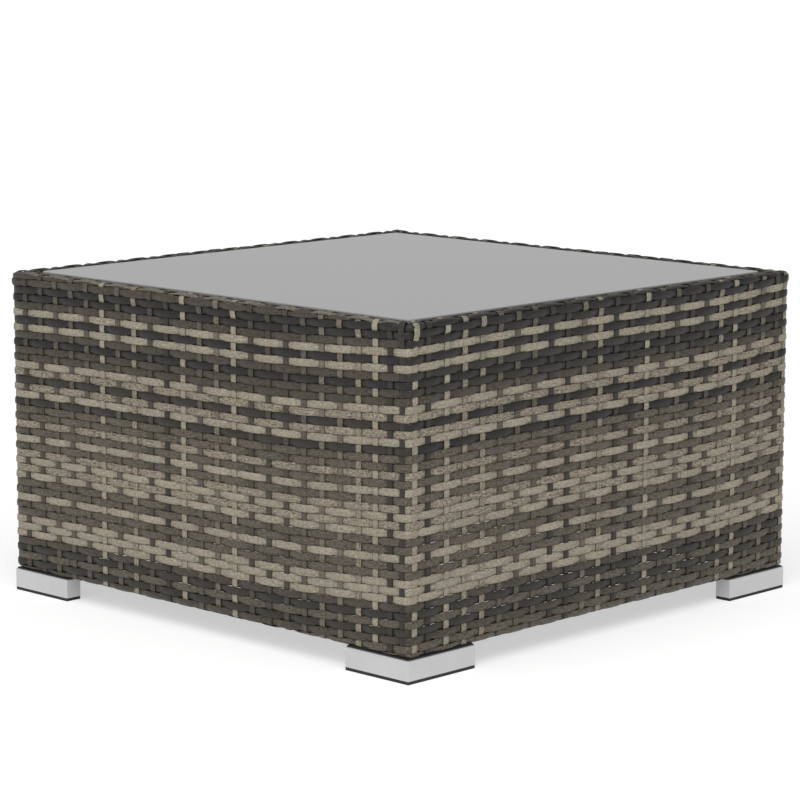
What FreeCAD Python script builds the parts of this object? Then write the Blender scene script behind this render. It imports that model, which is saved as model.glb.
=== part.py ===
"""Square wicker coffee table: a welded tube frame, woven sides, a plaited rim, a loose glass top and
four L-shaped feet. Millimetres, +Z up, origin on the floor under the middle of the table."""

import FreeCAD, Part
import os

# ---------------------------------------------------------------- driving dimensions

body_width = 600.0  # X, over the woven sides
body_depth = 600.0  # Y, over the woven sides
overall_height = 354.0

weave_thickness = 4.5
weave_lap = 1.0  # how far the weave reaches up behind the top rail
rim_proud = 2.0  # how far the rim stands out past the weave
wrap_top_thickness = 6.0
wrap_inner_thickness = 2.5
rim_outer_round = 6.0
rim_inner_round = 2.0

rail_size = 15.0
post_size = 20.0
stile_size = 12.0
tube_wall = 1.2
tube_round = 2.0
post_round = 2.0

glass_thickness = 5.0
glass_gap = 1.0  # all round, between the glass and the rim
glass_recess = 1.0  # glass face below the top of the rim
glass_corner_round = 6.0
glass_edge_bevel = 0.8

bumper_radius = 5.0
bumper_thickness = 2.0
bumper_from_edge = 11.0  # in from the edge of the glass
bumper_from_corner = 80.0
ledge_width = 25.0
ledge_thickness = 3.0
brace_width = 20.0
brace_height = 8.0
brace_spacing = 200.0  # between the two cross braces

pad_thickness = 3.4
pad_inset = 0.5
pad_rib_height = 4.0
pad_rib_wall = 1.5
pad_rib_clearance = 0.2
foot_height = 20.4
foot_arm_x = 87.0  # the feet are L-shaped, with one arm longer than the other
foot_arm_y = 96.0
foot_wall = 2.2
foot_top_wall = 3.0
foot_edge_round = 1.0
spacer_thickness = 1.4
spacer_inset = 1.5
plate_thickness = 3.0

screw_radius = 2.9
screw_length = 16.0
screw_head_radius = 5.0
screw_head_height = 4.0
screw_socket_radius = 2.8
screw_socket_depth = 2.5
screw_from_arm_end = 20.0
thread_clearance = 0.1
screw_hole_clearance = 0.4
rivet_nut_radius = 4.5
rivet_nut_height = 12.0
rivet_flange_radius = 6.5
rivet_flange_thickness = 0.8
rivet_bulge_radius = 6.0
rivet_bulge_height = 2.5
rivet_hole_clearance = 0.1
flange_hole_clearance = 0.5

# ---------------------------------------------------------------- places that follow from them

frame_half_x = body_width / 2 - weave_thickness
frame_half_y = body_depth / 2 - weave_thickness

foot_bottom = pad_thickness
foot_top = foot_bottom + foot_height
body_bottom = foot_top + spacer_thickness
plate_top = body_bottom + plate_thickness
bottom_rail_top = plate_top + rail_size

top_rail_top = overall_height - wrap_top_thickness
top_rail_bottom = top_rail_top - rail_size
rim_bottom = top_rail_bottom + weave_lap

glass_top_z = overall_height - glass_recess
glass_bottom = glass_top_z - glass_thickness
ledge_top = glass_bottom - bumper_thickness
ledge_bottom = ledge_top - ledge_thickness
brace_bottom = ledge_bottom - brace_height

rim_width = rim_proud + weave_thickness + rail_size + wrap_inner_thickness
rim_half_x = body_width / 2 + rim_proud
rim_half_y = body_depth / 2 + rim_proud
opening_half_x = rim_half_x - rim_width
opening_half_y = rim_half_y - rim_width
glass_half_x = opening_half_x - glass_gap
glass_half_y = opening_half_y - glass_gap

# the foot is as wide as the rail and the weave above it
foot_width = weave_thickness + rail_size
weave_round = post_round + weave_thickness
tube_inner_round = tube_round - tube_wall / 2
rail_centre_inset = weave_thickness + rail_size / 2
screw_seat = foot_top - foot_top_wall

SIDES = ("front", "right", "back", "left")
CORNERS = {
    "front_left": (-1, -1),
    "front_right": (1, -1),
    "back_left": (-1, 1),
    "back_right": (1, 1),
}

past = 1.0  # how far a cutting shape runs past the face that it cuts
beyond = 10.0  # how far a space that divides the sides runs beyond the pieces in it
tiny = 1e-6

nodes = {}


# ---------------------------------------------------------------- shapes used by more than one piece


def box(low, high):
    """A plain box between two opposite corners."""
    size = [b - a for a, b in zip(low, high)]
    return Part.makeBox(*size, FreeCAD.Vector(*low))


def edges_along(shape, axis):
    """The straight edges of a shape that run along one axis, 0, 1 or 2."""
    found = []
    for edge in shape.Edges:
        ends = [vertex.Point for vertex in edge.Vertexes]
        if len(ends) != 2:
            continue
        step = ends[1] - ends[0]
        across = [abs(step[i]) for i in range(3) if i != axis]
        if max(across) < tiny < abs(step[axis]):
            found.append(edge)
    return found


def rounded_box(low, high, radius, axis=2):
    """A box whose edges along one axis are rounded."""
    plain = box(low, high)
    return plain.makeFillet(radius, edges_along(plain, axis))


def square_tube(low, high, axis, outer_round):
    """A tube of square section along one axis, open at both ends."""
    inner_low = [v if i == axis else v + tube_wall for i, v in enumerate(low)]
    inner_high = [v if i == axis else v - tube_wall for i, v in enumerate(high)]
    outer = rounded_box(low, high, outer_round, axis)
    return outer.cut(rounded_box(inner_low, inner_high, outer_round - tube_wall / 2, axis))


def centred_slab(half_x, half_y, bottom, top, radius):
    """A flat slab about the middle of the table, with rounded corners in plan."""
    low = (-half_x, -half_y, bottom)
    high = (half_x, half_y, top)
    return rounded_box(low, high, radius) if radius else box(low, high)


def side_wedge(side):
    """The space that belongs to one side of the table, cut off at 45 degrees at both corners."""
    out_x = rim_half_x + beyond
    out_y = rim_half_y + beyond
    depth = beyond + rim_width + ledge_width + beyond
    along_x = side in ("front", "back")
    far = out_y if along_x else out_x
    wide = out_x if along_x else out_y
    sign = -1 if side in ("front", "left") else 1
    outline = []
    corners = ((-wide, far), (wide, far), (wide - depth, far - depth), (depth - wide, far - depth))
    for along, across in corners:
        x, y = (along, sign * across) if along_x else (sign * across, along)
        outline.append(FreeCAD.Vector(x, y, -past))
    outline.append(outline[0])
    face = Part.Face(Part.makePolygon(outline))
    return face.extrude(FreeCAD.Vector(0, 0, overall_height + 2 * past))


def to_corner(shape, corner):
    """Moves a piece drawn at the origin, in the +X +Y quarter, to one corner of the table."""
    sign_x, sign_y = CORNERS[corner]
    placed = shape.copy()
    if sign_x > 0:
        placed = placed.mirror(FreeCAD.Vector(), FreeCAD.Vector(1, 0, 0))
    if sign_y > 0:
        placed = placed.mirror(FreeCAD.Vector(), FreeCAD.Vector(0, 1, 0))
    placed.translate(FreeCAD.Vector(sign_x * body_width / 2, sign_y * body_depth / 2, 0))
    return placed


def l_prism(inset, outer_inset, inner_inset, bottom, top):
    """An L in plan with its outer corner at the origin, its two arms along +X and +Y."""
    near = outer_inset
    far = foot_width - inner_inset
    arm_x = box((near, near, bottom), (foot_arm_x - inset, far, top))
    arm_y = box((near, near, bottom), (far, foot_arm_y - inset, top))
    return arm_x.fuse(arm_y).removeSplitter()


def screw_places():
    """The two screws of a foot drawn at the origin, one in each arm."""
    along_x = foot_arm_x - screw_from_arm_end
    along_y = foot_arm_y - screw_from_arm_end
    return ((along_x, rail_centre_inset), (rail_centre_inset, along_y))


def at_screws(radius, bottom, top):
    """One upright cylinder at each screw of a foot drawn at the origin."""
    return [
        Part.makeCylinder(radius, top - bottom, FreeCAD.Vector(x, y, bottom)) for x, y in screw_places()
    ]


# ---------------------------------------------------------------- welded tube frame


def corner_post(corner):
    low = (weave_thickness, weave_thickness, plate_top)
    high = (weave_thickness + post_size, weave_thickness + post_size, top_rail_bottom)
    return to_corner(square_tube(low, high, 2, post_round), corner)


def rail(side, bottom, top, end_inset):
    """A horizontal tube behind the weave of one side, stopping short of the frame's corners."""
    sign = -1 if side in ("front", "left") else 1
    along_x = side in ("front", "back")
    reach = (frame_half_x if along_x else frame_half_y) - end_inset
    outer = frame_half_y if along_x else frame_half_x
    near, far = sorted((sign * (outer - rail_size), sign * outer))
    if along_x:
        return square_tube((-reach, near, bottom), (reach, far, top), 0, tube_round)
    return square_tube((near, -reach, bottom), (far, reach, top), 1, tube_round)


def frame_outline(bottom, top):
    """The space inside the weave, with the corners that the posts' rounding gives it."""
    return centred_slab(frame_half_x, frame_half_y, bottom, top, post_round)


def top_rail(side):
    full = rail(side, top_rail_bottom, top_rail_top, 0).common(side_wedge(side))
    return full.common(frame_outline(top_rail_bottom, top_rail_top))


def bottom_rail(side):
    plain = rail(side, plate_top, bottom_rail_top, post_size)
    radius = rivet_nut_radius + rivet_hole_clearance
    for corner in CORNERS:
        for hole in at_screws(radius, plate_top - past, plate_top + tube_wall + past):
            plain = plain.cut(to_corner(hole, corner))
    return plain


def mid_stile(side):
    """The upright in the middle of a side, between the bottom and top rails."""
    sign = -1 if side in ("front", "left") else 1
    half = stile_size / 2
    if side in ("front", "back"):
        near, far = sorted((sign * (frame_half_y - stile_size), sign * frame_half_y))
        low, high = (-half, near, bottom_rail_top), (half, far, top_rail_bottom)
    else:
        near, far = sorted((sign * (frame_half_x - stile_size), sign * frame_half_x))
        low, high = (near, -half, bottom_rail_top), (far, half, top_rail_bottom)
    return square_tube(low, high, 2, tube_round)


def glass_ledge(side):
    """A flat strip welded inside the top rail, mitred at its ends."""
    outer_x = frame_half_x - rail_size
    outer_y = frame_half_y - rail_size
    ring = centred_slab(outer_x, outer_y, ledge_bottom, ledge_top, 0)
    inner_x = outer_x - ledge_width
    inner_y = outer_y - ledge_width
    ring = ring.cut(centred_slab(inner_x, inner_y, ledge_bottom - past, ledge_top + past, 0))
    return ring.common(side_wedge(side))


def cross_brace(sign):
    """A flat tube from the left top rail to the right one, under the ledges."""
    reach = frame_half_x - rail_size
    middle = sign * brace_spacing / 2
    low = (-reach, middle - brace_width / 2, brace_bottom)
    high = (reach, middle + brace_width / 2, ledge_bottom)
    return square_tube(low, high, 0, tube_round)


def foot_plate(corner):
    """An L-shaped plate welded under the post and the bottom rails."""
    plate = l_prism(0, weave_thickness, 0, body_bottom, plate_top)
    for hole in at_screws(rivet_nut_radius + rivet_hole_clearance, body_bottom - past, plate_top + past):
        plate = plate.cut(hole)
    return to_corner(plate, corner).common(frame_outline(body_bottom, plate_top))


for name in CORNERS:
    nodes["corner_post_" + name] = corner_post(name)
    nodes["foot_plate_" + name] = foot_plate(name)
for name in SIDES:
    nodes["top_rail_" + name] = top_rail(name)
    nodes["bottom_rail_" + name] = bottom_rail(name)
    nodes["mid_stile_" + name] = mid_stile(name)
    nodes["glass_ledge_" + name] = glass_ledge(name)
nodes["cross_brace_front"] = cross_brace(-1)
nodes["cross_brace_back"] = cross_brace(1)

# ---------------------------------------------------------------- weave, rim and hems


def woven_panel(side):
    """One side of the weave, as the closed space that its strands fill."""
    outer = centred_slab(body_width / 2, body_depth / 2, body_bottom, rim_bottom, weave_round)
    return outer.cut(frame_outline(body_bottom - past, rim_bottom + past)).common(side_wedge(side))


def rim_wrap(side):
    """The plaited border over one top rail: an upside-down channel, mitred at its ends."""
    outer = centred_slab(rim_half_x, rim_half_y, rim_bottom, overall_height, weave_round + rim_proud)
    top_edges = [
        edge for edge in outer.Edges if all(v.Point.z > overall_height - tiny for v in edge.Vertexes)
    ]
    outer = outer.makeFillet(rim_outer_round, top_edges)
    above = overall_height + past
    opening = centred_slab(opening_half_x, opening_half_y, rim_bottom - past, above, 0)
    rail_space = centred_slab(frame_half_x, frame_half_y, rim_bottom - past, top_rail_top, 0)
    inner_leg = centred_slab(frame_half_x - rail_size, frame_half_y - rail_size, ledge_top, above, 0)
    ring = outer.cut(opening).cut(rail_space.cut(inner_leg))
    inner_edges = [
        edge
        for edge in ring.Edges
        if all(
            v.Point.z > overall_height - tiny
            and abs(v.Point.x) < opening_half_x + tiny
            and abs(v.Point.y) < opening_half_y + tiny
            for v in edge.Vertexes
        )
    ]
    return ring.makeFillet(rim_inner_round, inner_edges).common(side_wedge(side))


def hem_strip(side):
    """The strand ends folded under a bottom rail, between the two foot plates."""
    sign = -1 if side in ("front", "left") else 1
    along_x = side in ("front", "back")
    reach = body_width / 2 - foot_arm_x if along_x else body_depth / 2 - foot_arm_y
    outer = frame_half_y if along_x else frame_half_x
    near, far = sorted((sign * (outer - rail_size), sign * outer))
    if along_x:
        return box((-reach, near, body_bottom), (reach, far, plate_top))
    return box((near, -reach, body_bottom), (far, reach, plate_top))


for name in SIDES:
    nodes["woven_panel_" + name] = woven_panel(name)
    nodes["rim_wrap_" + name] = rim_wrap(name)
    nodes["hem_strip_" + name] = hem_strip(name)

# ---------------------------------------------------------------- feet


def foot():
    """A hollow L-shaped casting, open below, with its edges rounded."""
    outer = l_prism(0, 0, 0, foot_bottom, foot_top)
    round_edges = [edge for edge in outer.Edges if edge.BoundBox.ZMax > foot_bottom + tiny]
    outer = outer.makeFillet(foot_edge_round, round_edges)
    cavity = l_prism(foot_wall, foot_wall, foot_wall, foot_bottom - past, screw_seat)
    shell = outer.cut(cavity)
    for hole in at_screws(screw_radius + screw_hole_clearance, screw_seat - past, foot_top + past):
        shell = shell.cut(hole)
    # room for the screw head where it comes close to the wall
    for pocket in at_screws(screw_head_radius + screw_hole_clearance, foot_bottom - past, screw_seat):
        shell = shell.cut(pocket)
    return shell


def glide_pad():
    """A plastic sole, with a thin upright rib that grips inside the foot."""
    sole = l_prism(pad_inset, pad_inset, pad_inset, 0, pad_thickness)
    gap = foot_wall + pad_rib_clearance
    inside = gap + pad_rib_wall
    rib_top = pad_thickness + pad_rib_height
    rib = l_prism(gap, gap, gap, pad_thickness, rib_top)
    rib = rib.cut(l_prism(inside, inside, inside, pad_thickness - past, rib_top + past))
    return sole.fuse(rib).removeSplitter()


def foot_spacer():
    """A thin packer between the foot and the body, cut out round the rivet nuts' flanges."""
    packer = l_prism(spacer_inset, spacer_inset, spacer_inset, foot_top, body_bottom)
    for hole in at_screws(rivet_flange_radius + flange_hole_clearance, foot_top - past, body_bottom + past):
        packer = packer.cut(hole)
    return packer


def screw(x, y):
    """A cap screw, head down, with a hexagon socket."""
    seat = FreeCAD.Vector(x, y, screw_seat)
    head_bottom = FreeCAD.Vector(x, y, screw_seat - screw_head_height)
    shank = Part.makeCylinder(screw_radius, screw_length, seat)
    head = Part.makeCylinder(screw_head_radius, screw_head_height, head_bottom)
    upright = FreeCAD.Vector(0, 0, 1)
    to_flat = FreeCAD.Vector(screw_socket_radius, 0, -past)
    hexagon = [head_bottom + FreeCAD.Rotation(upright, 60 * i).multVec(to_flat) for i in range(7)]
    socket = Part.Face(Part.makePolygon(hexagon)).extrude(upright * (screw_socket_depth + past))
    return shank.fuse(head).cut(socket)


def rail_hollows():
    """The insides of the two bottom rails that meet at a corner drawn at the origin."""
    near = weave_thickness + tube_wall
    far = weave_thickness + rail_size - tube_wall
    low_z = plate_top + tube_wall
    high_z = bottom_rail_top - tube_wall
    hollow_x = rounded_box((near, near, low_z), (foot_arm_x, far, high_z), tube_inner_round, 0)
    hollow_y = rounded_box((near, near, low_z), (far, foot_arm_y, high_z), tube_inner_round, 1)
    return hollow_x.fuse(hollow_y)


def rivet_nut(x, y):
    """A threaded sleeve, flanged under the plate and bulged above the rail's lower wall."""
    flange_base = FreeCAD.Vector(x, y, body_bottom - rivet_flange_thickness)
    sleeve = Part.makeCylinder(rivet_nut_radius, rivet_nut_height, flange_base)
    flange = Part.makeCylinder(rivet_flange_radius, rivet_flange_thickness, flange_base)
    bulge_base = FreeCAD.Vector(x, y, plate_top + tube_wall)
    bulge = Part.makeCylinder(rivet_bulge_radius, rivet_bulge_height, bulge_base).common(rail_hollows())
    thread = Part.makeCylinder(screw_radius + thread_clearance, rivet_nut_height + past, flange_base)
    return sleeve.fuse(flange).fuse(bulge).cut(thread)


screws = []
rivet_nuts = []
for name in CORNERS:
    nodes["foot_" + name] = to_corner(foot(), name)
    nodes["glide_pad_" + name] = to_corner(glide_pad(), name)
    nodes["foot_spacer_" + name] = to_corner(foot_spacer(), name)
    screws += [to_corner(screw(x, y), name) for x, y in screw_places()]
    rivet_nuts += [to_corner(rivet_nut(x, y), name) for x, y in screw_places()]
nodes["foot_screws"] = Part.makeCompound(screws)
nodes["rivet_nuts"] = Part.makeCompound(rivet_nuts)

# ---------------------------------------------------------------- glass and its bumpers


def glass_top():
    sheet = centred_slab(glass_half_x, glass_half_y, glass_bottom, glass_top_z, glass_corner_round)
    rims = [edge for edge in sheet.Edges if edge.BoundBox.ZLength < tiny]
    return sheet.makeChamfer(glass_edge_bevel, rims)


def glass_bumpers():
    """Eight soft discs on the ledges, two to a side."""
    along_x = glass_half_x - bumper_from_corner
    along_y = glass_half_y - bumper_from_corner
    in_x = glass_half_x - bumper_from_edge
    in_y = glass_half_y - bumper_from_edge
    places = []
    for sign_x in (-1, 1):
        for sign_y in (-1, 1):
            places.append((sign_x * along_x, sign_y * in_y))
            places.append((sign_x * in_x, sign_y * along_y))
    discs = []
    for x, y in places:
        base = FreeCAD.Vector(x, y, ledge_top)
        discs.append(Part.makeCylinder(bumper_radius, bumper_thickness, base))
    return Part.makeCompound(discs)


nodes["glass_bumpers"] = glass_bumpers()
nodes["glass_top"] = glass_top()

# ---------------------------------------------------------------- one STEP file for each piece

os.makedirs("parts", exist_ok=True)
for name, shape in nodes.items():
    shape.exportStep(os.path.join("parts", name + ".step"))
    print(f"{name}: {len(shape.Solids)} solid(s), {shape.Volume / 1000:.2f} cm3")
print(len(nodes), "nodes")
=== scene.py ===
"""Looks of the square wicker coffee table: its strands, finishes, glass top and a plain studio. Metres."""

import math

import bmesh
import bpy
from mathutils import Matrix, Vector, noise


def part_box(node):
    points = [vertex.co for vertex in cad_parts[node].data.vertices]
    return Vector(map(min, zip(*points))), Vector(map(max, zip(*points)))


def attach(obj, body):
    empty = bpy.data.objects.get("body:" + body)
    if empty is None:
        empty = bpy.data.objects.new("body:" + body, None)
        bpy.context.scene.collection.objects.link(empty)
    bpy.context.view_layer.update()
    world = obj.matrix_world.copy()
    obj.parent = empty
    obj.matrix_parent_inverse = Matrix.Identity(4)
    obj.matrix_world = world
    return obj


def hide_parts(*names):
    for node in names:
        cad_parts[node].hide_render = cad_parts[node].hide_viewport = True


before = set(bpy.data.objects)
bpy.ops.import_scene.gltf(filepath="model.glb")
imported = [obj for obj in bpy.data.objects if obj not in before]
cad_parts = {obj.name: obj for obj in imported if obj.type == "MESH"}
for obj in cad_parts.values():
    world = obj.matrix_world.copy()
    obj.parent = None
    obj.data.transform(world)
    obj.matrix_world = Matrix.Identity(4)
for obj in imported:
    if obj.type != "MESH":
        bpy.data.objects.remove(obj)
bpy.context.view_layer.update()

# ---------------------------------------------------------------- welded frame
# Square steel tubes, flat glass ledges, cross braces and foot plates, welded into one open box and
# powder coated matt black before any strand goes on. It only shows from below and under the glass.


class Signal:
    """One output of a finish's node, so that shader maths reads as plain arithmetic."""

    def __init__(self, finish, socket):
        self.finish = finish
        self.socket = socket

    def maths(self, operation, first, second):
        return self.finish.node("ShaderNodeMath", {"operation": operation}, {0: first, 1: second})

    def __add__(self, other):
        return self.maths("ADD", self, other)

    def __sub__(self, other):
        return self.maths("SUBTRACT", self, other)

    def __rsub__(self, other):
        return self.maths("SUBTRACT", other, self)

    def __mul__(self, other):
        return self.maths("MULTIPLY", self, other)

    __radd__ = __add__
    __rmul__ = __mul__


class Finish:
    """A material of one Principled shader. Its constants sit on the shader's own sockets."""

    def __init__(self, name, constants):
        self.material = bpy.data.materials.new(name)
        self.material.use_nodes = True
        self.tree = self.material.node_tree
        self.shader = self.tree.nodes["Principled BSDF"]
        for socket, value in constants.items():
            self.shader.inputs[socket].default_value = value

    def node(self, kind, settings=None, sockets=None, output=0):
        """Adds one node: its settings first, then a value or a link for each socket."""
        made = self.tree.nodes.new(kind)
        for name, value in (settings or {}).items():
            setattr(made, name, value)
        for key, value in (sockets or {}).items():
            if isinstance(value, Signal):
                self.tree.links.new(value.socket, made.inputs[key])
            else:
                made.inputs[key].default_value = value
        return Signal(self, made.outputs[output])

    def noise(self, place, scale, detail=2.0):
        """Smooth noise about one half, at a place."""
        return self.node("ShaderNodeTexNoise", None, {"Vector": place, "Scale": scale, "Detail": detail})

    def mix(self, factor, first, second):
        """A colour between two colours."""
        sockets = {0: factor, 6: first, 7: second}
        return self.node("ShaderNodeMix", {"data_type": "RGBA"}, sockets, output=2)

    def bump(self, height, strength, distance):
        sockets = {"Strength": strength, "Distance": distance, "Height": height}
        return self.node("ShaderNodeBump", None, sockets, output="Normal")

    def feed(self, socket, signal):
        self.tree.links.new(signal.socket, self.shader.inputs[socket])


def paint(red, green, blue):
    """A colour as it is read from a paint chart, 0 to 255, as the linear colour that a shader takes."""
    levels = []
    for level in (red, green, blue):
        part = level / 255
        levels.append(part / 12.92 if part < 0.04045 else ((part + 0.055) / 1.055) ** 2.4)
    return (*levels, 1.0)


def coat(finish, *nodes):
    """Puts a finish on every material slot of some CAD nodes."""
    for name in nodes:
        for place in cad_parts[name].material_slots:
            place.material = finish.material


sides = ("front", "right", "back", "left")
corners = ("front_left", "front_right", "back_left", "back_right")

powder = Finish("black powder coat", {"Metallic": 0.0, "Roughness": 0.5})
place = powder.node("ShaderNodeTexCoord", output="Object")
orange_peel = powder.noise(place, 420.0)
patches = powder.noise(place, 22.0)
powder.feed("Base Color", powder.mix(patches, paint(30, 29, 28), paint(44, 42, 40)))
powder.feed("Roughness", 0.42 + 0.2 * orange_peel)
powder.feed("Normal", powder.bump(orange_peel, 0.35, 0.0003))
for side in sides:
    coat(powder, "top_rail_" + side, "bottom_rail_" + side, "mid_stile_" + side, "glass_ledge_" + side)
for corner in corners:
    coat(powder, "corner_post_" + corner, "foot_plate_" + corner)
coat(powder, "cross_brace_front", "cross_brace_back")

# ---------------------------------------------------------------- feet
# Four hollow L-shaped aluminium castings, blasted and lacquered to a satin grey. Each stands on a
# black glide pad, and a thin black packer keeps it off the body. Zinc plated screws hold it from below.

satin = Finish("satin aluminium", {"Metallic": 0.6, "Roughness": 0.35})
place = satin.node("ShaderNodeTexCoord", output="Object")
blast = satin.noise(place, 1500.0, 1.0)
clouds = satin.noise(place, 35.0, 3.0)
satin.feed("Base Color", satin.mix(clouds, paint(187, 187, 187), paint(198, 198, 198)))
satin.feed("Roughness", 0.28 + 0.14 * blast)
satin.feed("Normal", satin.bump(blast, 0.2, 0.0001))

rubber = Finish("black rubber", {"Metallic": 0.0, "Roughness": 0.7})
place = rubber.node("ShaderNodeTexCoord", output="Object")
pores = rubber.noise(place, 900.0)
rubber.feed("Base Color", rubber.mix(pores, paint(16, 16, 16), paint(30, 30, 30)))
rubber.feed("Normal", rubber.bump(pores, 0.3, 0.0002))

zinc = Finish("zinc plate", {"Metallic": 1.0, "Roughness": 0.35})
place = zinc.node("ShaderNodeTexCoord", output="Object")
spangle = zinc.noise(place, 300.0, 3.0)
zinc.feed("Base Color", zinc.mix(spangle, paint(150, 152, 155), paint(188, 190, 192)))
zinc.feed("Roughness", 0.25 + 0.25 * spangle)

for corner in corners:
    coat(satin, "foot_" + corner)
    coat(rubber, "glide_pad_" + corner, "foot_spacer_" + corner)
coat(zinc, "foot_screws", "rivet_nuts")

# ---------------------------------------------------------------- woven sides: the strands that run round
# Flat polyethylene strands in seven mixed greys and beiges run round all four sides in a plain weave,
# over one upright strand and under the next. They fold under the bottom rails and end under the rim.

weave_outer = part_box("woven_panel_right")[1].x
weave_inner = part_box("top_rail_right")[1].x
body_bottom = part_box("woven_panel_front")[0].z
rim_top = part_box("rim_wrap_front")[1].z

# the sheet that the strands follow, in plan: four straight sides with rounded corners
sheet_out = (weave_outer + weave_inner) / 2
corner_round = 0.00425
least_corner_round = 0.003  # under the table and on top of the rim
squeeze_start = 0.24  # from a side's middle; the strands draw in only beyond it
straight_run = 2 * (sheet_out - corner_round)
corner_run = corner_round * math.pi / 2
side_step = straight_run + corner_run
around = 4 * side_step

# the fold under the bottom rail, where the strands are pressed flat
fold_round = 0.0022
fold_height = body_bottom + 0.0008
fold_start = fold_height + fold_round
fold_squash = 0.35
hem_length = 0.012
hem_end = fold_start - fold_round * math.pi / 2 - hem_length

# the rim: a small step outwards, a bend over the top rail, a flat top, and a leg beside the glass
rim_step = 0.0013
rim_step_low = 0.335
rim_step_high = 0.344
rim_height = rim_top - 0.002
rim_round = 0.003
rim_start = rim_height - rim_round
rim_bend = rim_round * math.pi / 2
rim_far = 0.284
rim_flat = sheet_out + rim_step - rim_round - rim_far
inner_round = 0.004
inner_bend = inner_round * math.pi / 2
leg_squash = 0.5


def ease(low, high, value):
    """0 below low and 1 above high, with a smooth rise between."""
    part = min(max((value - low) / (high - low), 0.0), 1.0)
    return part * part * (3 - 2 * part)


def sheet_section(h):
    """The sheet at a height h along it: how far out and how high it is, how far it faces out and up,
    and how much of the strands' swing it has room for."""
    if h < fold_start:
        run = fold_start - h
        angle = min(run / fold_round, math.pi / 2)
        out = sheet_out - fold_round * (1 - math.cos(angle)) - (run - fold_round * angle)
        height = fold_start - fold_round * math.sin(angle)
        room = 1 - (1 - fold_squash) * math.sin(angle)
        return out, height, math.cos(angle), -math.sin(angle), room
    if h < rim_start:
        return sheet_out + rim_step * ease(rim_step_low, rim_step_high, h), h, 1.0, 0.0, 1.0
    run = h - rim_start
    edge = sheet_out + rim_step - rim_round
    if run < rim_bend:
        angle = run / rim_round
        out = edge + rim_round * math.cos(angle)
        return out, rim_start + rim_round * math.sin(angle), math.cos(angle), math.sin(angle), 1.0
    run -= rim_bend
    if run < rim_flat:
        return edge - run, rim_height, 0.0, 1.0, 1.0
    run -= rim_flat
    angle = min(run / inner_round, math.pi / 2)
    out = rim_far - inner_round * math.sin(angle)
    height = rim_height - inner_round * (1 - math.cos(angle)) - (run - inner_round * angle)
    room = 1 - (1 - leg_squash) * math.sin(angle)
    return out, height, -math.sin(angle), math.cos(angle), room


def sheet_point(s, h, proud):
    """The point at s round the table from the front left corner, h up the sheet, and proud of its middle."""
    out, height, facing_out, facing_up, room = sheet_section(h)
    out += proud * room * facing_out
    height += proud * room * facing_up
    bend = max(out - (sheet_out - corner_round), least_corner_round)
    straight = out - bend
    turns, along = divmod(s, side_step)
    if along < straight_run:
        across = along - straight_run / 2
        beyond = max(abs(across) - squeeze_start, 0.0) / (straight_run / 2 - squeeze_start)
        reach = min(abs(across), squeeze_start) + beyond * (straight - squeeze_start)
        x, y = math.copysign(reach, across), -out
    else:
        angle = (along - straight_run) / corner_round
        x = straight + bend * math.sin(angle)
        y = -straight - bend * math.cos(angle)
    for _ in range(int(turns) % 4):
        x, y = -y, x
    return Vector((x, y, height))


# where the upright strands stand, on each side, from its middle
front_places = [-0.278 + 0.0254 * i for i in range(21)] + [0.253, 0.273, 0.290]
right_places = [-0.290, -0.271] + [-0.2445 + 0.02575 * i - 0.0000368 * i * i for i in range(22)] + [0.2935]
back_places = [-0.278 + 0.02448 * i for i in range(24)]
left_places = [-0.283 + 0.02383 * i for i in range(25)]
side_places = (front_places, right_places, back_places, left_places)
uprights = []
for turn, places in enumerate(side_places):
    uprights += [turn * side_step + straight_run / 2 + place for place in places]
upright_count = len(uprights)


def upright_place(q):
    """How far round the table the upright strand number q stands; q may lie between two of them."""
    first = math.floor(q)
    ends = []
    for number in (first, first + 1):
        laps, index = divmod(number, upright_count)
        ends.append(uprights[index] + laps * around)
    return ends[0] + (q - first) * (ends[1] - ends[0])


# how the rows rise and fall round the table, as a weaver's rows do: (place from the side's middle, rise)
rises = {
    "front": (
        (-0.29, -0.0205),
        (-0.19, -0.0175),
        (-0.05, -0.0160),
        (0.09, -0.0147),
        (0.15, -0.0130),
        (0.21, -0.0093),
    ),
    "right": (
        (-0.29, -0.0027),
        (-0.20, -0.0010),
        (-0.08, 0.0),
        (0.10, 0.0),
        (0.17, 0.0009),
        (0.22, 0.0030),
    ),
    "back": ((-0.29, 0.0083), (0.0, 0.0020)),
    "left": ((-0.29, -0.0045), (0.0, -0.0120)),
}
rise_marks = []
for turn, side in enumerate(sides):
    rise_marks += [(turn * side_step + straight_run / 2 + place, rise) for place, rise in rises[side]]
rise_marks = [(rise_marks[-1][0] - around, rise_marks[-1][1])] + rise_marks
rise_marks.append((rise_marks[1][0] + around, rise_marks[1][1]))


def rise_at(s):
    """How far the rows have risen at s round the table."""
    s %= around
    for (low_s, low), (high_s, high) in zip(rise_marks, rise_marks[1:]):
        if s <= high_s:
            return low + (high - low) * (s - low_s) / (high_s - low_s)
    return rise_marks[-1][1]


first_row = 0.0371
row_pitch = 0.008133

# the upper rows sag a little towards the front right corner
sag_depth = 0.0016
sag_reach = 0.14
sag_low = 0.22
sag_high = 0.32


def row_height(row, s):
    """Height along the sheet of a row's middle, at s round the table."""
    height = first_row + row_pitch * row + rise_at(s)
    from_corner = abs(s % around - side_step)
    near = max(1 - from_corner / sag_reach, 0.0)
    return height - sag_depth * near * ease(sag_low, sag_high, height)


section_sides = 8
section_power = 2 / 2.3  # 1 would give an ellipse, and 0 a box
chart_margin = 0.04  # left free along both edges of a strand's strip of the chart
merge_distance = 1e-6


def section_point(turn):
    """A point on a strand's flat, rounded section of half width 1 and half thickness 1."""
    across = math.cos(turn * math.tau)
    through = math.sin(turn * math.tau)
    return (
        math.copysign(abs(across) ** section_power, across),
        math.copysign(abs(through) ** section_power, through),
    )


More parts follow.
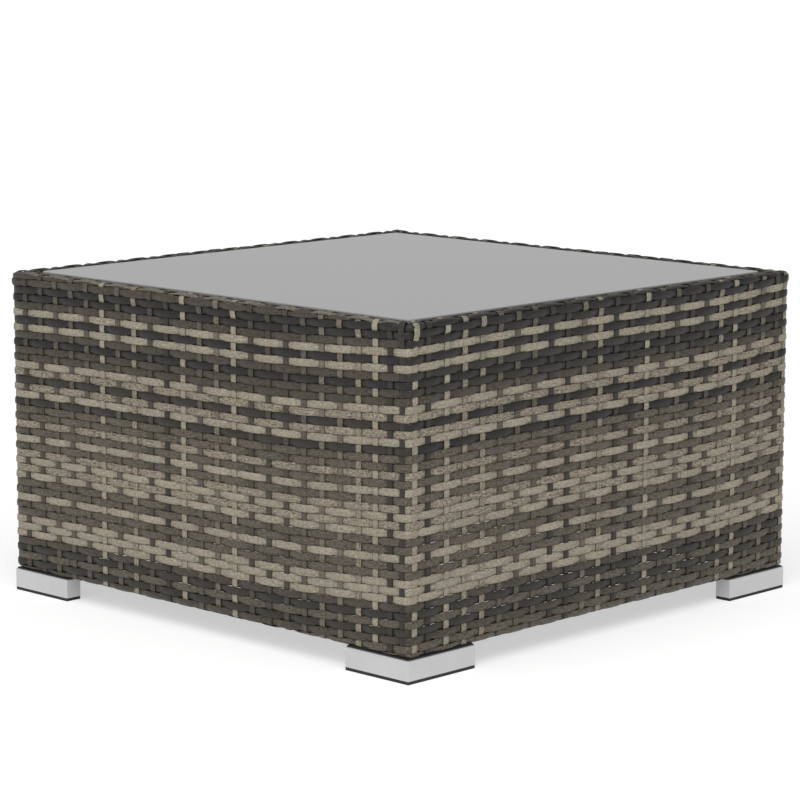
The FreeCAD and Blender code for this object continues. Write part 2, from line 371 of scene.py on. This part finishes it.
def lay_strand(bm, stops, strip, strips, colour):
    """Rolls a grid into one closed strand. Each stop gives the strand's middle on the sheet (s, h,
    proud), its half width along s and along h, its half thickness and its tilt."""
    segments = len(stops) - 1
    made = bmesh.ops.create_grid(
        bm, x_segments=segments, y_segments=section_sides, size=0.5, calc_uvs=True
    )
    tone = bm.verts.layers.float_color["strand_colour"]
    chart = bm.loops.layers.uv["OFBake"]
    faces = set()
    for vert in made["verts"]:
        s, h, proud, half_s, half_h, half_thick, tilt = stops[round((vert.co.x + 0.5) * segments)]
        across, through = section_point(vert.co.y + 0.5)
        lift = through * half_thick + across * tilt
        vert.co = sheet_point(s + across * half_s, h + across * half_h, proud + lift)
        vert[tone] = colour
        faces.update(vert.link_faces)
    for face in faces:
        face.smooth = True
        for loop in face.loops:
            in_strip = chart_margin + (1 - 2 * chart_margin) * loop[chart].uv.y
            loop[chart].uv.y = (strip + in_strip) / strips
    bmesh.ops.remove_doubles(bm, verts=made["verts"], dist=merge_distance)
    bmesh.ops.holes_fill(bm, edges=[edge for edge in bm.edges if edge.is_boundary])


def new_strands():
    """An empty mesh with the places for strand colours and for the chart along the strands."""
    bm = bmesh.new()
    bm.verts.layers.float_color.new("strand_colour")
    bm.loops.layers.uv.new("OFBake")
    return bm


def finish_strands(name, bm, stands_for):
    """Makes an object of the strands and ties it to the table, where it stands for a CAD node."""
    bmesh.ops.recalc_face_normals(bm, faces=bm.faces)
    mesh = bpy.data.meshes.new(name)
    bm.to_mesh(mesh)
    bm.free()
    mesh.materials.append(wicker.material)
    piece = bpy.data.objects.new(name, mesh)
    bpy.context.collection.objects.link(piece)
    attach(piece, "table")
    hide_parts(stands_for)


def reel(red, green, blue, speckled):
    """One kind of strand: its colour, and how speckled it is."""
    return (*paint(red, green, blue)[:3], speckled)


# the seven kinds of strand, from near black to pale beige
strand_kinds = {
    "n": reel(32, 29, 26, 0.7),
    "k": reel(43, 39, 34, 0.9),
    "d": reel(61, 55, 47, 1.5),
    "b": reel(77, 71, 61, 1.7),
    "m": reel(95, 88, 77, 1.7),
    "s": reel(119, 111, 97, 1.9),
    "l": reel(134, 127, 112, 1.0),
}

# the kind of each row, from the lowest one in the hem up to the rim
lowest_row = -3
# rows 32, 35, 38 and 39 are near black strands; they take the kind n, a shade darker than k, as painted
# shade that darkens the upper rows
row_kinds = "kbbbdkbkdlllbblbblslsblbsbbklskslddndlnldnnddbd"
# painted shade: on the right side some of the upper rows take darker kinds than the same strands have on the
# front
right_side_shaded_kinds = {24: "n", 27: "n", 31: "k", 33: "k", 37: "n", 38: "n", 39: "n", 40: "n", 41: "n"}

row_half_width = 0.0043
row_half_thick = 0.0009
row_swing = 0.0012  # how far a row bows out over an upright strand, and in under the next
row_spread = -0.07  # a row is a little narrower where it bows out
row_waver = 0.00035
row_twist = 0.00035
stops_per_upright = 6

# the rows stand out a little over the corner posts, and swing less there
corner_lift = 0.0010
corner_reach = 0.016
corner_calm = 0.5

# a row that climbs on to the rim lies deeper and flatter there, and ends under the rim's own strands
tuck_start = rim_start + 0.0005
tuck_end = rim_start + 0.0055
tuck_depth = 0.0012
tuck_calm = 0.5


def flat_swing(q):
    """-1 where a strand passes under an upright strand and 1 where it passes over, and nearly level
    at both."""
    swing = -math.cos(math.pi * q)
    for _ in range(2):
        swing *= 1.5 - 0.5 * swing * swing
    return swing


def corner_nearness(s):
    """1 on a corner of the table, and 0 from a little way off it."""
    from_corner = abs((s + corner_run / 2 + side_step / 2) % side_step - side_step / 2)
    return ease(0.0, 1.0, 1 - from_corner / corner_reach)


def row_stop(row, q):
    """One stop of a row that runs round the table. It passes under the upright strand number q where
    q and the row add up to an even number, and over it where they add up to an odd one."""
    s = upright_place(q)
    h = row_height(row, s)
    swing = flat_swing(q + row)
    h += row_waver * noise.noise(Vector((q * 0.45, row * 3.7, 0.0)))
    tilt = row_twist * noise.noise(Vector((q * 0.6, row * 2.3, 9.0)))
    tuck = ease(tuck_start, tuck_end, h)
    near_corner = corner_nearness(s)
    proud = row_swing * swing * (1 - tuck_calm * tuck) * (1 - corner_calm * near_corner)
    proud += near_corner * corner_lift * (1 - tuck) - tuck_depth * tuck
    half_width = row_half_width * (1 + row_spread * swing)
    return s, h, proud, 0.0, half_width, row_half_thick, tilt


# a side's rows end behind the upright strands next to its corners
seam_uprights = [-1]
for places in side_places:
    seam_uprights.append(seam_uprights[-1] + len(places))


def seam(side_number, row):
    """The upright strand by the corner where this row lies underneath."""
    first = seam_uprights[side_number]
    return first if (first + row) % 2 == 0 else first + 1


wicker = Finish("wicker strand", {"Metallic": 0.0, "Roughness": 0.5, "Specular IOR Level": 0.3})
chart = wicker.node("ShaderNodeUVMap", {"uv_map": "OFBake"})
strip_count = len(row_kinds)


def strand_noise(along, across, detail):
    """Noise on the chart: so many marks along a side, and so many across one strand."""
    scale = (along, across * strip_count, 1.0)
    place = wicker.node("ShaderNodeMapping", None, {"Vector": chart, "Scale": scale})
    return wicker.noise(place, 1.0, detail)


streaks = strand_noise(90.0, 44.0, 3.0)
spots = strand_noise(200.0, 13.0, 2.0)
drifts = strand_noise(7.0, 1.0, 1.0)
tone = wicker.node("ShaderNodeAttribute", {"attribute_name": "strand_colour"}, output="Color")
speckle = wicker.node("ShaderNodeAttribute", {"attribute_name": "strand_colour"}, output="Alpha")
level = 1.0 + speckle * (1.5 * (streaks - 0.5) + 1.6 * (spots - 0.5)) + 0.5 * (drifts - 0.5)
mottled = wicker.node("ShaderNodeVectorMath", {"operation": "SCALE"}, {0: tone, "Scale": level})
wicker.feed("Base Color", mottled)
wicker.feed("Roughness", 0.36 + 0.22 * spots)
wicker.feed("Normal", wicker.bump(streaks, 0.25, 0.0003))

for number, side in enumerate(sides):
    strands = new_strands()
    for index, kind in enumerate(row_kinds):
        row = lowest_row + index
        start = seam(number, row)
        count = (seam(number + 1, row) - start) * stops_per_upright
        stops = [row_stop(row, start + i / stops_per_upright) for i in range(count + 1)]
        stops = [stop for stop in stops if hem_end < stop[1] < tuck_end]
        # the right side's painted shade: darker kinds for some of its upper rows
        if side == "right":
            kind = right_side_shaded_kinds.get(row, kind)
        if len(stops) > stops_per_upright:
            lay_strand(strands, stops, index, strip_count, strand_kinds[kind])
    finish_strands("rows_" + side, strands, "woven_panel_" + side)

# ---------------------------------------------------------------- rim
# Three more strands run round on top of the top rails, level with the edge, in the same over and
# under as the sides. They hide the ends of the rows, and the uprights pass between them.

rim_first_row = 0.0060
rim_row_pitch = 0.0078
rim_parity = 39  # the first rim strand goes over and under as this row does
rim_row_kinds = {"front": "mbd", "right": "kkd", "back": "nkn", "left": "nkk"}
rim_row_swing = 0.0008
rim_half_width = 0.0041
rim_waver = 0.0003
rim_twist = 0.0003


def rim_stop(number, q):
    """One stop of a strand that runs round on top of the rim."""
    s = upright_place(q)
    swing = flat_swing(q + rim_parity + number)
    h = rim_start + rim_first_row + rim_row_pitch * number
    h += rim_waver * noise.noise(Vector((q * 0.5, number * 5.1, 4.0)))
    tilt = rim_twist * noise.noise(Vector((q * 0.6, number * 2.3, 5.0)))
    half_width = rim_half_width * (1 + row_spread * swing)
    return s, h, rim_row_swing * swing, 0.0, half_width, row_half_thick, tilt


for number, side in enumerate(sides):
    strands = new_strands()
    for index, kind in enumerate(rim_row_kinds[side]):
        start = seam(number, rim_parity + index)
        count = (seam(number + 1, rim_parity + index) - start) * stops_per_upright
        stops = [rim_stop(index, start + i / stops_per_upright) for i in range(count + 1)]
        lay_strand(strands, stops, index, strip_count, strand_kinds[kind])
    finish_strands("rim_rows_" + side, strands, "rim_wrap_" + side)

# ---------------------------------------------------------------- woven sides: the upright strands
# Upright strands stand about 25 mm apart. Each starts under the bottom rail, runs up the side, goes
# over the rim and is tucked down beside the glass. They stay nearly straight between the rows.

upright_kinds = {
    "front": "ddbbblbsdklbmldddbmmslkk",
    "right": "lklssbbbkkmskklbbkdslbmds",
    "back": "dbmlbkdbdbkmkbbdkmbsdbkb",
    "left": "bkdmbkbkdsbmkbddbkmbddkbd",
}
upright_half_width = 0.0039
upright_half_thick = 0.0005
upright_swing = 0.0004
rim_upright_swing = 0.0009
rim_swing_low = rim_start - 0.001
rim_swing_high = rim_start + 0.003
upright_waver = 0.0003
upright_leg = 0.001  # what is left of a strand below the rim's inner bend
upright_end = rim_start + rim_bend + rim_flat + inner_bend + upright_leg
upright_step = 0.0019

# at the front right corner the uprights swell into a knob over the rim
knob_low = 0.328
knob_high = rim_start + rim_bend + 0.007
knob_rise = 0.006
knob_lift = 0.0024


def upright_stop(number, h):
    """One stop of an upright strand; it leans away from the row that passes over it."""
    s = uprights[number]
    row = (h - row_height(0, s)) / row_pitch
    side_swing = upright_swing * math.cos(math.pi * (number + row))
    rim_row = rim_parity + (h - rim_start - rim_first_row) / rim_row_pitch
    rim_swing = rim_upright_swing * math.cos(math.pi * (number + rim_row))
    on_rim = ease(rim_swing_low, rim_swing_high, h)
    proud = side_swing + (rim_swing - side_swing) * on_rim
    near_corner = corner_nearness(s)
    knob = ease(knob_low, knob_low + knob_rise, h) * (1 - ease(knob_high - knob_rise, knob_high, h))
    proud += near_corner * corner_lift
    if abs(s - side_step) < corner_reach:
        proud += near_corner * knob_lift * knob
    s += upright_waver * noise.noise(Vector((number * 4.1, h * 30.0, 2.0)))
    return s, h, proud, upright_half_width, 0.0, upright_half_thick, 0.0


stop_count = round((upright_end - hem_end) / upright_step)
heights = [hem_end + (upright_end - hem_end) * i / stop_count for i in range(stop_count + 1)]
number = 0
for side in sides:
    strands = new_strands()
    for index, kind in enumerate(upright_kinds[side]):
        stops = [upright_stop(number, h) for h in heights]
        lay_strand(strands, stops, index, strip_count, strand_kinds[kind])
        number += 1
    finish_strands("uprights_" + side, strands, "hem_strip_" + side)

# ---------------------------------------------------------------- glass top
# One sheet of tempered glass, painted light grey on its back, with a polished bevel. It lies loose
# on eight clear silicone discs that sit on the ledges inside the rim.

glass = Finish("back painted glass", {"Metallic": 0.0, "Roughness": 0.03, "IOR": 1.5})
place = glass.node("ShaderNodeTexCoord", output="Object")
film = glass.noise(place, 3.0, 2.0)
glass.feed("Base Color", glass.mix(film, paint(122, 121, 121), paint(127, 126, 126)))
glass.feed("Roughness", 0.02 + 0.03 * film)
coat(glass, "glass_top")

silicone = Finish("clear silicone", {"Metallic": 0.0, "Roughness": 0.3})
place = silicone.node("ShaderNodeTexCoord", output="Object")
haze = silicone.noise(place, 200.0)
silicone.feed("Base Color", silicone.mix(haze, paint(176, 180, 180), paint(204, 208, 208)))
coat(silicone, "glass_bumpers")

# ---------------------------------------------------------------- studio
# A pale floor that glows a little, so that it stays pale in the table's shade, an even pale sky, and
# two large soft lights.

white = (1.0, 1.0, 1.0, 1.0)

bpy.ops.mesh.primitive_plane_add(size=80.0)
floor = bpy.context.object
floor.name = "studio_floor"
floor_finish = Finish(
    "pale floor",
    {
        "Base Color": (0.5, 0.5, 0.5, 1.0),
        "Roughness": 0.9,
        "Specular IOR Level": 0.0,
        "Emission Color": white,
        "Emission Strength": 0.52,
    },
)
floor.data.materials.append(floor_finish.material)

world = bpy.data.worlds.new("studio sky")
world.use_nodes = True
sky = world.node_tree.nodes["Background"]
sky.inputs["Color"].default_value = white
sky.inputs["Strength"].default_value = 0.6
bpy.context.scene.world = world

table_middle = Vector((0.0, 0.0, 0.2))


def soft_light(name, kind, place, size, power):
    """A soft light that faces the table: a square one of a width, or a distant one of an angle."""
    lamp = bpy.data.lights.new(name, kind)
    if kind == "SUN":
        lamp.angle = size
    else:
        lamp.size = size
    lamp.energy = power
    light = bpy.data.objects.new(name, lamp)
    light.location = place
    light.rotation_euler = (table_middle - light.location).to_track_quat("-Z", "Y").to_euler()
    bpy.context.collection.objects.link(light)


soft_light("overhead_light", "SUN", (1.95, -3.6, 5.6), math.radians(70), 1.6)
soft_light("near_light", "AREA", (1.15, -1.2, 1.3), 0.6, 7.0)

look_down = 0.1624
camera_roll = -0.0018
camera_turn = 0.7679
camera_data = bpy.data.cameras.new("camera")
camera_data.lens = 137.2
camera_data.sensor_width = 36.0
camera_data.clip_end = 200.0
camera = bpy.data.objects.new("camera", camera_data)
camera.location = (2.2874, -2.3717, 0.7509)
camera.rotation_euler = (math.pi / 2 - look_down, camera_roll, camera_turn)
bpy.context.collection.objects.link(camera)
bpy.context.scene.camera = camera
bpy.context.scene.view_settings.view_transform = "Standard"
